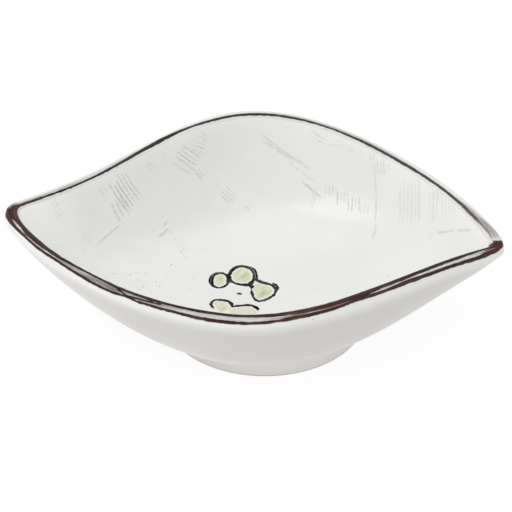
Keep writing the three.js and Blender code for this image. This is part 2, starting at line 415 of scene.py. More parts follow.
def brush_layers(places, marks):
    """Layers of brush marks. Near a mark a layer holds the share of its way that has been gone, its
    hairs counted across, with LANES_EACH more for each mark before it, and its strength, which falls
    to nothing MARK_FADE beyond it. A mark takes the layer that has the most room within MARK_APART
    of it, and gives way where that layer is taken."""
    layers = np.zeros((MARK_LAYERS, len(places), 3))
    taken = np.zeros((MARK_LAYERS, len(places)), bool)
    for number, (start, end, hairs, spacing, strength) in enumerate(marks):
        stroke = np.array(end) - start
        length = np.hypot(*stroke)
        ahead = (places - start) @ stroke / length
        across = (places - start) @ [-stroke[1], stroke[0]] / length
        past_end = np.maximum(-ahead, ahead - length)
        past_side = abs(across) - hairs * spacing / 2
        beyond = np.maximum(past_end, past_side)
        near = beyond < MARK_APART
        layer = (taken & near).sum(1).argmin()
        here = near & ~taken[layer]
        shown = strength * np.clip(1 - beyond / MARK_FADE, 0, 1)
        lane = np.clip(across / spacing + hairs / 2, 0, hairs) + 1 + LANES_EACH * number
        layers[layer, here] = np.stack([ahead / length, lane, shown], -1)[here]
        taken[layer] |= near
    return layers


def brush_path(points, closed):
    """A smooth path through points, where each stretch is the cubic whose slope at either end is half
    the way from the point before to the point after."""
    points = np.array(points, float)
    if not closed:
        points = np.vstack([2 * points[0] - points[1], points, 2 * points[-1] - points[-2]])
    before, here, after, beyond = (np.roll(points, shift, 0)[:, None] for shift in (1, 0, -1, -2))
    part = np.linspace(0, 1, 8, endpoint=False)[:, None]
    cubic = 3 * (here - after) + beyond - before
    square = 2 * before - 5 * here + 4 * after - beyond
    path = here + part / 2 * (after - before + part * (square + part * cubic))
    return path.reshape(-1, points.shape[1]) if closed else np.vstack([
        path[1:-2].reshape(-1, points.shape[1]), points[-2],
    ])


def beside_path(places, path, closed):
    """For each place, how far it lies from a path of x, y, half width and core: positive on its
    right, or outside a loop. With it come the half width and the core at the nearest point. Beyond
    the ends of an open path the half width is NO_STROKE."""
    ahead = np.roll(path, -1, 0) if closed else path[1:]
    start = path[:len(ahead)]
    step = ahead - start
    offset = places[:, None] - start[:, :2]
    part = np.clip((offset * step[:, :2]).sum(-1) / (step[:, :2]**2).sum(-1), 0, 1)
    gap = np.linalg.norm(offset - part[..., None] * step[:, :2], axis=-1)
    nearest = gap.argmin(1)
    row = np.arange(len(places))
    to_place, onwards = offset[row, nearest], step[nearest]
    is_right = to_place[:, 0] * onwards[:, 1] > to_place[:, 1] * onwards[:, 0]
    goes_right = (start[:, 0] * step[:, 1] - start[:, 1] * step[:, 0]).sum() < 0
    side = np.where(is_right != (closed and goes_right), 1, -1)
    width = start[nearest, 2:] + onwards[:, 2:] * part[row, nearest, None]
    if not closed:
        at_end = np.isin(nearest + part[row, nearest], (0, len(step)))
        width[at_end, 0] = NO_STROKE
    return np.column_stack([gap[row, nearest] * side, width])


# The outline of each petal and the dot: x, y, half of the line's width, and half of the paler core
# that two strokes leave between them. A width below nought is a gap, a core of -1 an unfilled petal.
PETALS = {
    "left": [
        (-11.4, 0.4, 0.28, 0), (-12.2, 3.2, 0.27, 0), (-14.1, 4.4, 0.3, 0), (-16.1, 3.3, 0.46, 0.03),
        (-16.9, 0.4, 0.52, 0.04), (-16.1, -2.4, 0.36, 0), (-14.2, -3.7, 0.2, 0), (-12.2, -2.5, 0.24, 0),
    ],
    "top": [
        (-3.2, 3.6, 0.62, 0.1), (-4.4, 7.0, 0.62, 0.1), (-7.4, 8.5, 0.34, 0), (-9.9, 7.6, 0.5, 0),
        (-11.4, 3.9, 0.34, 0), (-11.0, 1.0, 0.5, 0), (-9.6, -0.6, 0.26, 0), (-7.4, -1.4, 0.38, 0),
        (-5.1, -1.3, 0.6, 0), (-3.6, 0.6, 0.6, 0),
    ],
    "right": [
        (-3.3, 1.7, 0.34, 0), (-1.5, 0.6, 0.5, 0), (0.5, -0.2, 0.42, 0), (2.2, -0.9, 0.3, 0),
        (3.4, -2.4, 0.27, 0), (3.7, -4.0, 0.27, 0), (3.4, -5.8, 0.27, 0), (2.6, -7.2, 0.27, 0),
        (1.2, -8.6, 0.3, 0), (-0.8, -9.7, 0.34, 0), (-2.3, -8.9, 0.3, 0), (-3.2, -7.2, 0.27, 0),
        (-3.6, -5.2, 0.24, 0), (-3.9, -3.9, -0.1, 0), (-4.0, -2.2, 0.2, 0), (-3.8, 0.0, 0.27, 0),
    ],
    "lower_left": [
        (-15.8, -12.0, 0.28, 0), (-14.8, -10.3, 0.28, 0), (-12.4, -10.0, 0.3, 0),
        (-10.4, -10.7, 0.36, 0), (-9.3, -12.3, 0.38, 0), (-9.6, -14.6, -0.5, 0),
        (-12.2, -16.3, -0.7, 0), (-13.8, -15.2, -0.4, 0), (-15.1, -13.8, 0.15, 0),
    ],
    "bottom": [
        (-9.8, -14.6, -0.5, -1), (-8.7, -13.1, 0.2, -1), (-6.5, -12.6, 0.28, -1),
        (-4.3, -12.0, 0.32, -1), (-2.4, -12.5, 0.36, -1), (-1.2, -13.8, 0.36, -1),
        (-0.9, -15.6, -0.5, -1), (-1.6, -18.0, 0.24, -1), (-4.0, -20.0, 0.3, -1),
        (-7.0, -19.6, 0.28, -1), (-9.2, -17.4, -0.5, -1),
    ],
    "dot": [(-6.9, -6.3, 0.1, 0), (-7.4, -6.0, 0.15, 0), (-7.9, -6.3, 0.1, 0), (-7.4, -6.6, 0.15, 0)],
}
# Where the brush went over an outline a second time, a little beside it.
SECOND_STROKES = [
    [(2.2, 0.1, 0.1, 0), (3.5, -0.7, 0.25, 0), (4.2, -2.4, 0.25, 0), (3.9, -4.0, 0.1, 0)],
    [(-6.6, -1.5, 0.1, 0), (-4.9, -1.5, 0.5, 0), (-3.9, -2.2, 0.45, 0), (-3.7, -3.2, 0, 0)],
    [(-11.7, 2.2, 0, 0), (-11.5, 0.5, 0.45, 0), (-11.0, -0.8, 0, 0)],
]
places = rolled_out[has_blossom]
outlines = np.stack([beside_path(places, brush_path(petal, True), True) for petal in PETALS.values()])
petals = outlines[outlines[..., 0].argmin(0), np.arange(len(places))]

# How the coat shows: none in the recess under the floor, painted shade darkening the outside down from
# its widest edge, and painted light, a paler white, below the lip and about the left point.
RECESS_RADIUS = 27.5
OUTER_SHADE_FADE = 3.5
PALE_HEM = 8
PALE_HEM_SHARE = 0.3
PALE_TIP = 20
PALE_TIP_CORE = 1.3
is_recess = (np.linalg.norm((body_rings - foot_axis)[..., :2], axis=-1) < RECESS_RADIUS) & (
    body_rings[..., 2] < seat_height + 1
)
ring_number = np.arange(len(body_rings))[:, None]
widest_ring = np.argmax(np.linalg.norm((body_rings - foot_axis)[:, :1, :2], axis=-1))
# Painted shade: the outside darkens down from its widest edge.
below_edge = (body_rings[widest_ring, :, 2] - body_rings[..., 2]) / OUTER_SHADE_FADE
outside_shade_share = np.where(ring_number <= widest_ring, np.clip(below_edge, 0, 1), 0)
below_hem = (mouth_edge(turns)[:, 2] - body_rings[..., 2]) / PALE_HEM
from_left = np.linalg.norm(body_rings - mouth_edge(np.array([math.pi])), axis=-1) / PALE_TIP
# Painted light: paler below the lip, and most in the hollow about the left point.
hem_brightening = PALE_HEM_SHARE * np.clip(1 - below_hem, 0, 1) ** 2
painted_light_share = np.maximum(hem_brightening, np.clip(PALE_TIP_CORE - from_left, 0, 1))
inside_light_share = np.where(ring_number > widest_ring, painted_light_share, 0)
body_paint = {
    "petals": over_body(has_blossom, petals, FAR_AWAY),
    "recess_shade_and_light": np.stack([is_recess, outside_shade_share, inside_light_share], -1).astype(float),
}
for number, path in enumerate(SECOND_STROKES):
    stroke = beside_path(places, brush_path(path, False), False)
    body_paint[f"second_stroke_{number}"] = over_body(has_blossom, stroke, FAR_AWAY)
for number, layer in enumerate(brush_layers(rolled_out[has_hairs], DRY_BRUSH_MARKS)):
    body_paint[f"dry_brush_{number}"] = over_body(has_hairs, layer, 0)
body = skin("glazed_body", body_rings, (seat_pole, floor_pole), body_paint)
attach(body, "root")
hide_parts("bowl")


def linear(hex_colour):
    """An sRGB colour written #rrggbb, as linear light with full alpha."""
    channels = [int(hex_colour[i:i + 2], 16) / 255 for i in (1, 3, 5)]
    light = [c / 12.92 if c <= 0.04045 else ((c + 0.055) / 1.055) ** 2.4 for c in channels]
    return (*light, 1)


def add(tree, kind, inputs=(), **settings):
    """Adds a shader node with its settings. Its inputs go by place or by name, and each is a value,
    another node's output, or a node, which stands for its first output."""
    node = tree.nodes.new("ShaderNode" + kind)
    for setting, value in settings.items():
        setattr(node, setting, value)
    for socket, source in inputs.items() if isinstance(inputs, dict) else enumerate(inputs):
        if isinstance(source, bpy.types.Node):
            source = source.outputs[0]
        if isinstance(source, bpy.types.NodeSocket):
            tree.links.new(source, node.inputs[socket])
        else:
            node.inputs[socket].default_value = source
    return node


# The glaze is a feldspar white, fired satin: its thickness clouds the white a little, iron in the
# clay comes through as small soft specks, and the surface is faintly uneven, so highlights spread.
GLAZE_IOR = 1.45
CLOUD_WIDTH = 22 * MM
SPECK_SPACING = 7.3 * MM
SPECK_RADIUS = 0.36 * MM
SPECK_CORE = 0.45
SPECK_STRENGTH = 0.6
SPECK_BROWN = "#5e564a"
WHITE_THIN = "#eaebe7"
WHITE_THICK = "#eeeeec"
WAVE_WIDTH = 9 * MM
WAVE_HEIGHT = 0.035 * MM
ORANGE_PEEL_WIDTH = 1.3 * MM
ORANGE_PEEL_SHARE = 0.05
SATIN = (0.2, 0.27)


def glazed(name, thin, thick):
    """A glazed clay material of these two colours, with its tree, its shader and its ground colour."""
    material = bpy.data.materials.new(name)
    material.use_nodes = True
    tree = material.node_tree
    shader = tree.nodes["Principled BSDF"]
    place = add(tree, "TexCoord").outputs["Object"]
    cloud = add(tree, "TexNoise", {"Vector": place, "Scale": 1 / CLOUD_WIDTH, "Detail": 3})
    cloudy = add(tree, "MapRange", (cloud, 0.35, 0.65, 0, 1))
    ground = add(tree, "MixRGB", (cloudy, linear(thin), linear(thick)))
    cells = add(tree, "TexVoronoi", {"Vector": place, "Scale": 1 / SPECK_SPACING})
    chance = add(tree, "SeparateColor", (cells.outputs["Color"],))
    size = SPECK_RADIUS / SPECK_SPACING
    speck = add(tree, "MapRange", (cells.outputs["Distance"], SPECK_CORE * size, size, 1, 0))
    speck = add(tree, "Math", (speck, chance), operation="MULTIPLY")
    speck = add(tree, "Math", (speck, SPECK_STRENGTH), operation="MULTIPLY")
    ground = add(tree, "MixRGB", (speck, ground, linear(SPECK_BROWN)))
    wave = add(tree, "TexNoise", {"Vector": place, "Scale": 1 / WAVE_WIDTH, "Detail": 1})
    peel = add(tree, "TexNoise", {"Vector": place, "Scale": 1 / ORANGE_PEEL_WIDTH, "Detail": 2})
    relief = add(tree, "Math", (peel, ORANGE_PEEL_SHARE, wave), operation="MULTIPLY_ADD")
    bump = add(tree, "Bump", {"Height": relief, "Distance": WAVE_HEIGHT})
    shader.inputs["IOR"].default_value = GLAZE_IOR
    sheen = add(tree, "MapRange", (cloud, 0.3, 0.7, *SATIN))
    tree.links.new(bump.outputs[0], shader.inputs["Normal"])
    tree.links.new(sheen.outputs[0], shader.inputs["Roughness"])
    return material, tree, shader, ground


glaze, tree, shader, colour = glazed("satin_white_glaze", WHITE_THIN, WHITE_THICK)
place = add(tree, "TexCoord").outputs["Object"]

# Dry-brush hairs in a thin grey-green: each wavers, begins and ends at its own place, and the white
# shows through it unevenly.
HAIR_GREEN = "#868b7c"
HAIR_STRENGTH = 0.6
HAIR_WAVER_WIDTH = 3 * MM
HAIR_WAVER = 0.22
GRIT_WIDTH = 0.9 * MM
GRIT_GAPS = 0.25
HAIR_EDGE = (0.1, 0.3)
LATEST_START = 0.15
EARLIEST_STOP = 0.85
SWELLS_OVER = 0.12
THINS_OVER = 0.18
LIGHTEST_LOAD = 0.45
warp = add(tree, "TexNoise", {"Vector": place, "Scale": 1 / HAIR_WAVER_WIDTH, "Detail": 2})
waver = add(tree, "MapRange", (warp, 0, 1, -HAIR_WAVER, HAIR_WAVER))
grit = add(tree, "TexNoise", {"Vector": place, "Scale": 1 / GRIT_WIDTH, "Detail": 2})
broken = add(tree, "MapRange", (grit, 0.3, 0.62, GRIT_GAPS, 1))
hairs = None
for number in range(MARK_LAYERS):
    mark = add(tree, "Attribute", attribute_name=f"dry_brush_{number}")
    part = add(tree, "SeparateXYZ", (mark.outputs["Vector"],))
    lane = add(tree, "Math", (part.outputs["Y"], waver), operation="ADD")
    hair = add(tree, "Math", (lane,), operation="FLOOR")
    chance = add(tree, "TexWhiteNoise", {"W": hair}, noise_dimensions="1D")
    chance = add(tree, "SeparateColor", (chance.outputs["Color"],))
    over_hair = add(tree, "Math", (lane,), operation="FRACT")
    middle = add(tree, "Math", (over_hair, 0.5), operation="SUBTRACT")
    off_middle = add(tree, "Math", (middle,), operation="ABSOLUTE")
    line = add(tree, "MapRange", (off_middle, *HAIR_EDGE, 1, 0), interpolation_type="SMOOTHSTEP")
    start = add(tree, "Math", (chance.outputs["Red"], LATEST_START), operation="MULTIPLY")
    begun = add(tree, "Math", (part.outputs["X"], start), operation="SUBTRACT")
    begins = add(tree, "MapRange", (begun, 0, SWELLS_OVER, 0, 1))
    stop = add(tree, "MapRange", (chance.outputs["Green"], 0, 1, 1, EARLIEST_STOP))
    left = add(tree, "Math", (stop, part.outputs["X"]), operation="SUBTRACT")
    ends = add(tree, "MapRange", (left, 0, THINS_OVER, 0, 1))
    load = add(tree, "MapRange", (chance.outputs["Blue"], 0, 1, LIGHTEST_LOAD, 1))
    for factor in (part.outputs["Z"], begins, ends, load, broken):
        line = add(tree, "Math", (line, factor), operation="MULTIPLY")
    hairs = add(tree, "Math", (line, hairs), operation="MAXIMUM") if hairs else line
hairs = add(tree, "Math", (hairs, HAIR_STRENGTH), operation="MULTIPLY")
colour = add(tree, "MixRGB", (hairs, colour, linear(HAIR_GREEN)))

# The blossom: sooty iron ink lines with a slightly ragged edge, a thin bare rim inside them, and a
# yellow-green wash in each petal, laid on in short diagonal strokes.
SOOTY_INK = "#060504"
INK_RAGGED = 0.17
INK_GLOSS = 0.05
GLAZE_GLOSS = 0.5
LEAF_PALE = "#dcdfc4"
LEAF_DEEP = "#b8be94"
UNFILLED = "#e0dccb"
PETAL_RIM = "#f3efdc"
LEAF_STROKE_WIDTH = 1.3 * MM
LEAF_STROKE_STRETCH = 3.5
LEAF_STROKE_SLANT = math.radians(60)
# Where each fades, in mm: the wash, its deeper middle and the rim outwards from the line's inner
# side, the ink and its paler core inwards from their edges.
WASH_EDGE = (-1.15, -0.25)
DEEP_EDGE = (-3.2, -0.8)
RIM_EDGE = (-0.2, 0.1)
INK_EDGE = (-0.33, -0.13)
CORE_EDGE = (-0.05, 0.05)
SHALLOW_SHARE = 0.15
RIM_SHARE = 0.35
CORE_SHARE = 0.6
ragged = add(tree, "MapRange", (grit, 0.3, 0.7, -INK_RAGGED, INK_RAGGED))
outline = add(tree, "SeparateXYZ", (add(tree, "Attribute", attribute_name="petals").outputs["Vector"],))
beside = add(tree, "Math", (outline.outputs["X"], ragged), operation="ADD")
within = add(tree, "Math", (beside, outline.outputs["Y"]), operation="ADD")
wash = add(tree, "MapRange", (within, *WASH_EDGE, 1, 0), interpolation_type="SMOOTHSTEP")
slant = {"Vector": place, "Rotation": (0, 0, LEAF_STROKE_SLANT), "Scale": (LEAF_STROKE_STRETCH, 1, 1)}
slant = add(tree, "Mapping", slant, vector_type="TEXTURE")
strokes = add(tree, "TexNoise", {"Vector": slant, "Scale": 1 / LEAF_STROKE_WIDTH, "Detail": 1})
patchy = add(tree, "MapRange", (strokes, 0.38, 0.66, 0, 1))
deep = add(tree, "MapRange", (within, *DEEP_EDGE, 1, SHALLOW_SHARE))
patchy = add(tree, "Math", (patchy, deep), operation="MULTIPLY")
leafy = add(tree, "MixRGB", (patchy, linear(LEAF_PALE), linear(LEAF_DEEP)))
filled = add(tree, "MapRange", (outline.outputs["Z"], -1, -0.5, 0, 1))
leafy = add(tree, "MixRGB", (filled, linear(UNFILLED), leafy))
cream = add(tree, "MapRange", (within, *RIM_EDGE, RIM_SHARE, 0))
colour = add(tree, "MixRGB", (cream, colour, linear(PETAL_RIM)))
colour = add(tree, "MixRGB", (wash, colour, leafy))
inked = None
for field in ("petals", *(f"second_stroke_{number}" for number in range(len(SECOND_STROKES)))):
    stroke = add(tree, "SeparateXYZ", (add(tree, "Attribute", attribute_name=field).outputs["Vector"],))
    moved = add(tree, "Math", (stroke.outputs["X"], ragged), operation="ADD")
    off_line = add(tree, "Math", (moved,), operation="ABSOLUTE")
    depth = add(tree, "Math", (stroke.outputs["Y"], off_line), operation="SUBTRACT")
    line = add(tree, "MapRange", (depth, *INK_EDGE, 0, 1))
    in_core = add(tree, "Math", (stroke.outputs["Z"], off_line), operation="SUBTRACT")
    core = add(tree, "MapRange", (in_core, *CORE_EDGE, 1, CORE_SHARE))
    line = add(tree, "Math", (line, core), operation="MULTIPLY")
    inked = add(tree, "Math", (line, inked), operation="MAXIMUM") if inked else line
ink_load = add(tree, "MapRange", (warp, 0.3, 0.6, 0.93, 1))
inked = add(tree, "Math", (inked, ink_load), operation="MULTIPLY")
colour = add(tree, "MixRGB", (inked, colour, linear(SOOTY_INK)))
dulled = add(tree, "MapRange", (inked, 0, 1, GLAZE_GLOSS, INK_GLOSS))
tree.links.new(dulled.outputs[0], shader.inputs["Specular IOR Level"])

# The outside is painted a darker grey from its widest edge down: painted shade on the wall that faces the
# floor. Below the lip and about the left point the inside is painted paler: painted light. The recess is
# bare: buff clay with the rings of the turning tool.
OUTSIDE_SHADE_GREY = "#d5d2ce"
PAINTED_LIGHT_WHITE = "#fcfcfa"
TURNED_PALE = "#d3c2a8"
TURNED_DARK = "#b9a384"
CLAY_GRIT = "#a8916f"
TURNING_PITCH = 1.4 * MM
# The coat field: bare clay in the recess, painted shade down the outside, painted light near the lip.
coat = add(tree, "SeparateXYZ", (add(tree, "Attribute", attribute_name="recess_shade_and_light").outputs["Vector"],))
colour = add(tree, "MixRGB", (coat.outputs["Y"], colour, linear(OUTSIDE_SHADE_GREY)))
# Painted light: a paler white mixed in below the lip and about the left point.
colour = add(tree, "MixRGB", (coat.outputs["Z"], colour, linear(PAINTED_LIGHT_WHITE)))
from_axis = add(tree, "Mapping", {"Vector": place, "Location": -Vector(foot_axis) * MM, "Scale": (1, 1, 0)})
away = add(tree, "VectorMath", (from_axis,), operation="LENGTH").outputs["Value"]
tool = add(tree, "TexNoise", {"W": away, "Scale": 1 / TURNING_PITCH}, noise_dimensions="1D")
clay = add(tree, "MixRGB", (tool, linear(TURNED_PALE), linear(TURNED_DARK)))
gritty = add(tree, "MapRange", (grit, 0.35, 0.65, 0, 0.35))
clay = add(tree, "MixRGB", (gritty, clay, linear(CLAY_GRIT)))
colour = add(tree, "MixRGB", (coat, colour, clay))
tree.links.new(colour.outputs[0], shader.inputs["Base Color"])
body.data.materials.append(glaze)

# The slip band. A thin coat of iron slip, brushed round the lip in one turn: it fills a shallow
# rebate, dries to a dark line along both edges, washes out between them and fires brown to grey.
# It stands barely proud, dips under the clay at its hems, and its back clears the rebate's floor.
BAND_PROUD = 0.012
HEM_SINK = 0.004
HEM_RAMP = 0.9
BACK_SINK = 0.01
BACK_CLEAR = 0.03
girth_grid = lip_girth_grid[:len(band_girths)]
front = (BAND_PROUD + HEM_SINK) * inset(girth_grid, 0, HEM_RAMP) - HEM_SINK
back = -BACK_SINK - (BAND_THICKNESS - BACK_CLEAR) * inset(girth_grid, REBATE_MARGIN, REBATE_RAMP)
front_rings = raised(lip_rings[:len(band_girths)], front)
back_rings = raised(lip_rings[:len(band_girths)], back)

lip_edge = mouth_edge(np.append(turns, 2 * math.pi))
lip_way = np.append(0, np.cumsum(np.linalg.norm(np.diff(lip_edge, axis=0), axis=-1)))[:-1]

# Stations: mm round the lip from the right point by way of the back, then where the line
# starts and stops, in mm over the lip from the inner hem.
INNER_LINE = [
    (0, 0.1, 3.3), (0.4, 1.5, 3.3), (1, 1.5, 3.0), (1.5, 1.2, 1.3), (5, 1.2, 1.35),
    (10, 1.1, 1.55), (14, 1.05, 1.8), (18, 1.1, 1.8), (22, 1.25, 2.0), (35, 1.35, 2.05),
    (45, 1.2, 1.95), (52, 1.15, 1.9), (66, 1.35, 2.15), (76, 1.5, 2.1), (90, 1.2, 2.05),
    (105, 1.1, 2.05), (118, 1.2, 2.0), (124, 1.55, 2.2), (130, 1.5, 2.6), (136, 1.2, 2.7),
    (142, 1.2, 2.45), (148, 1.2, 2.05), (155, 1.1, 1.7), (160, 1.05, 1.5), (172, 1.15, 1.6),
    (180, 1.2, 1.8), (185, 1.1, 1.8), (187.5, 1.0, 1.9), (189, 1.0, 2.6), (190.5, 1.0, 3.5),
    (194, 0.9, 3.4), (196, 0.9, 2.5), (200, 0.7, 2.3), (204, 0.8, 2.85), (208, 1.15, 2.95),
    (212, 1.5, 2.9), (216, 1.7, 2.75), (220, 1.8, 2.75), (224, 1.65, 2.35), (232, 1.65, 2.15),
    (240, 1.75, 2.25), (244, 1.9, 2.85), (248, 1.8, 2.65), (252, 1.7, 2.4), (256, 1.2, 2.65),
    (260, 1.1, 2.4), (264, 1.2, 2.4), (268, 1.25, 2.55), (274, 1.35, 2.6), (280, 1.25, 2.55),
    (284, 1.25, 2.6), (288, 1.35, 2.75), (292, 1.8, 3.1), (296, 1.8, 3.1), (300, 1.95, 3.5),
    (304, 1.9, 3.4), (312, 1.85, 3.35), (316, 1.7, 3.3), (320, 1.45, 3.4), (324, 1.3, 3.0),
    (328, 1.3, 2.8), (332, 1.35, 2.85), (340, 1.25, 2.75), (348, 1.35, 2.75), (356, 1.35, 2.7),
    (364, 1.3, 2.4), (365.5, 1.2, 2.1), (367, 0.2, 2.0), (370, 0.1, 2.4), (372.7, 0.1, 3.3),
]
OUTER_LINE = [
    (0, 3.3, 5.0), (0.5, 3.2, 5.4), (1, 3.2, 5.5), (1.5, 5.0, 5.4), (8, 5.1, 5.1), (16, 5.1, 5.6),
    (176, 5.1, 5.6), (187, 5.4, 5.7), (189, 5.2, 5.4), (190, 3.4, 4.9), (192, 3.0, 5.2),
    (194, 3.1, 4.8), (196, 3.35, 4.6), (200, 3.45, 4.3), (204, 3.4, 4.1), (208, 3.6, 4.3),
    (212, 3.8, 4.35), (216, 3.6, 4.4), (220, 3.5, 4.25), (224, 3.75, 4.4), (228, 3.95, 4.6),
    (232, 4.15, 4.8), (236, 4.5, 5.05), (240, 4.7, 5.1), (244, 4.6, 5.05), (247, 4.4, 4.8),
    (248.5, 3.95, 4.5), (250, 4.3, 4.8), (252, 4.6, 4.95), (256, 4.4, 4.9), (260, 4.4, 4.9),
    (264, 4.4, 4.9), (268, 4.6, 5.1), (274, 4.75, 5.4), (280, 4.8, 5.4), (284, 4.9, 5.35),
    (288, 4.85, 5.3), (292, 4.8, 5.2), (296, 4.45, 5.15), (300, 4.5, 5.15), (304, 4.4, 5.0),
    (308, 4.4, 5.0), (312, 4.15, 4.75), (316, 3.5, 4.55), (320, 3.5, 4.7), (324, 4.05, 4.8),
    (328, 4.05, 4.85), (332, 3.7, 4.85), (336, 3.6, 4.9), (340, 3.95, 4.95), (344, 4.2, 5.0),
    (352, 4.25, 5.05), (356, 4.4, 5.2), (360, 4.45, 5.25), (364, 4.4, 5.3), (367, 3.4, 5.1),
    (370, 3.2, 4.8), (372, 3.2, 4.45), (372.7, 3.3, 4.8),
]
# How dark the inner line is and how brown both lines are: mm round the lip, then the two shares.
LINE_TONE = [
    (0, 1.0, 1.0), (1, 1.0, 1.0), (1.6, 0.0, 0.3), (3, 0.4, 0.0), (9, 0.45, 0.0), (12, 0.65, 0.0),
    (14, 0.85, 0.0), (18, 0.85, 0.0), (24, 0.92, 0.0), (45, 0.95, 0.0), (180, 1.0, 0.0),
    (187.5, 0.95, 0.4), (189.5, 1.0, 1.0), (204, 1.0, 0.8), (215, 1.0, 0.35), (224, 1.0, 0.1),
    (240, 1.0, 0.2), (256, 1.0, 0.3), (264, 1.0, 0.0), (286, 1.0, 0.0), (292, 1.0, 0.4),
    (300, 1.0, 0.7), (332, 1.0, 0.5), (345, 1.0, 0.2), (362, 1.0, 0.3), (368, 1.0, 1.0),
    (372.7, 1.0, 1.0),
]
# The wash between the lines: mm round the lip, its strength, and how far it goes from the inner line.
WASH = [
    (0, 1.0, 4.5), (1.2, 0.8, 4.0), (1.8, 0.15, 3.5), (3.5, 0.65, 3.2), (6, 0.85, 2.9),
    (10, 0.85, 2.6), (14, 0.85, 2.0), (18, 0.75, 1.9), (22, 0.65, 1.3), (30, 0.5, 1.0),
    (45, 0.5, 1.1), (52, 0.55, 1.4), (64, 0.65, 1.5), (84, 0.6, 1.4), (100, 0.5, 1.2),
    (120, 0.45, 1.1), (148, 0.5, 1.5), (160, 0.5, 2.0), (172, 0.6, 2.0), (180, 0.6, 1.7),
    (187.5, 0.5, 1.7), (190, 1.0, 4.5), (194, 1.0, 4.5), (197, 0.6, 4.5), (200, 0.25, 4.5),
    (203, 0.6, 4.5), (212, 0.55, 4.5), (216, 0.45, 4.5), (220, 0.7, 4.5), (228, 0.9, 4.5),
    (234, 1.0, 4.5), (244, 1.0, 4.5), (248, 0.85, 4.5), (258, 0.8, 4.5), (264, 0.75, 4.5),
    (268, 0.5, 4.5), (276, 0.5, 4.5), (288, 0.45, 4.5), (292, 0.65, 4.5), (296, 0.85, 4.5),
    (300, 1.2, 4.5), (304, 1.05, 4.5), (308, 1.15, 4.5), (312, 1.25, 4.5), (320, 1.2, 4.5),
    (323, 0.7, 4.5), (328, 0.55, 4.5), (338, 0.55, 4.5), (343, 0.4, 4.5), (350, 0.35, 4.5),
    (360, 0.35, 4.5), (365, 0.45, 4.5), (368, 0.8, 4.5), (372.7, 1.0, 4.5),
]
# The end of the turn laps over its start: where the brush was lifted off, it crossed to the outer
# edge and trailed back. Each point: mm round the lip, mm over it, half the stroke's width, no core.
BRUSH_LIFT = [
    (243.6, 2.7, 0.15, 0), (246, 3.4, 0.2, 0), (248.2, 4.15, 0.35, 0), (250, 3.9, 0.3, 0),
    (252.5, 3.6, 0.28, 0), (256, 3.3, 0.22, 0), (259, 3.1, 0.05, 0), (261.5, 3.0, -0.25, 0),
]


def along_lip(stations):
    """Values at each turn, drawn straight between stations of mm round the lip."""
    way, *columns = zip(*stations)
    return [np.interp(lip_way, way, column) for column in columns]


def all_round(values):
    """One value for each turn, repeated over the girth."""
    return np.broadcast_to(values, girth_grid.shape)


dark, brown = along_lip(LINE_TONE)


def line_field(stations):
    """For each point of the band: its distance past the middle of the line, the line's half width,
    and how brown it is."""
    first, last = along_lip(stations)
    return np.stack([girth_grid - (first + last) / 2, all_round((last - first) / 2), all_round(brown)], -1)


strength, spread = along_lip(WASH)
round_lip = np.stack([all_round(lip_way), girth_grid], -1).reshape(-1, 2)
lift = beside_path(round_lip, brush_path(BRUSH_LIFT, False), False).reshape(*girth_grid.shape, 3)
band_paint = {
    "inner_line": line_field(INNER_LINE),
    "outer_line": line_field(OUTER_LINE),
    "wash": np.stack([all_round(strength), all_round(spread), all_round(dark)], -1),
    "brush_lift": lift,
    "brush_way": np.stack([all_round(lip_edge[:-1, 0]), all_round(lip_edge[:-1, 1]), girth_grid], -1),
}
band_paint = {field: np.concatenate([v[::-1], v]) for field, v in band_paint.items()}
band = skin("slip_band", np.concatenate([front_rings[::-1], back_rings]), paint=band_paint)
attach(band, "root")
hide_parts("rim_band")

# The slip has soaked up the glaze over it, so the band looks matt beside the satin white. Its lines
# have ragged edges and a pinkish fringe where the iron bled, and the brush has left long fine streaks
# in the wash. The sizes are in mm.
STREAK_LENGTH = 7.14
STREAK_WIDTH = 0.3125
RAG_LENGTH = 1.818
RAG_WIDTH = 2.5
LINE_RAGGED = 0.11
LINE_SPREAD = (-0.3, -0.1)
LINE_STRENGTH = 0.98
FRINGE = "#cdb7b1"
FRINGE_SPREAD = (-0.5, -0.15)
FRINGE_STRENGTH = 0.35
WASH_FADE = (0.55, 1.15)
WASH_STREAKS = (0.55, 1.15)
WASH_HEM = 0.25
WASH_GREY = "#837a78"
WASH_BROWN = "#5c3a38"
FIRED_BROWN = "#42241f"
LINE_DARKS = {"inner_line": "#1a1612", "brush_lift": "#1f1613", "outer_line": "#2c1a16"}
SLIP_GLOSS = 0.1
slip, tree, shader, colour = glazed("iron_slip_under_glaze", WHITE_THIN, WHITE_THICK)
brush_way = add(tree, "Attribute", attribute_name="brush_way").outputs["Vector"]
streak_scale = (1 / STREAK_LENGTH, 1 / STREAK_LENGTH, 1 / STREAK_WIDTH)
rag_scale = (1 / RAG_LENGTH, 1 / RAG_LENGTH, 1 / RAG_WIDTH)
streak_way = add(tree, "Mapping", {"Vector": brush_way, "Scale": streak_scale})
streaks = add(tree, "TexNoise", {"Vector": streak_way, "Scale": 1, "Detail": 3})
rag_way = add(tree, "Mapping", {"Vector": brush_way, "Scale": rag_scale})
rag = add(tree, "TexNoise", {"Vector": rag_way, "Scale": 1, "Detail": 4})
ragged = add(tree, "MapRange", (rag, 0.3, 0.7, -LINE_RAGGED, LINE_RAGGED))
lines = {}
for field in LINE_DARKS:
    stroke = add(tree, "SeparateXYZ", (add(tree, "Attribute", attribute_name=field).outputs["Vector"],))
    off_line = add(tree, "Math", (stroke.outputs["X"],), operation="ABSOLUTE")
    depth = add(tree, "Math", (stroke.outputs["Y"], off_line), operation="SUBTRACT")
    depth = add(tree, "Math", (depth, ragged), operation="ADD")
    lines[field] = stroke, depth
inner, outer = lines["inner_line"][0], lines["outer_line"][0]
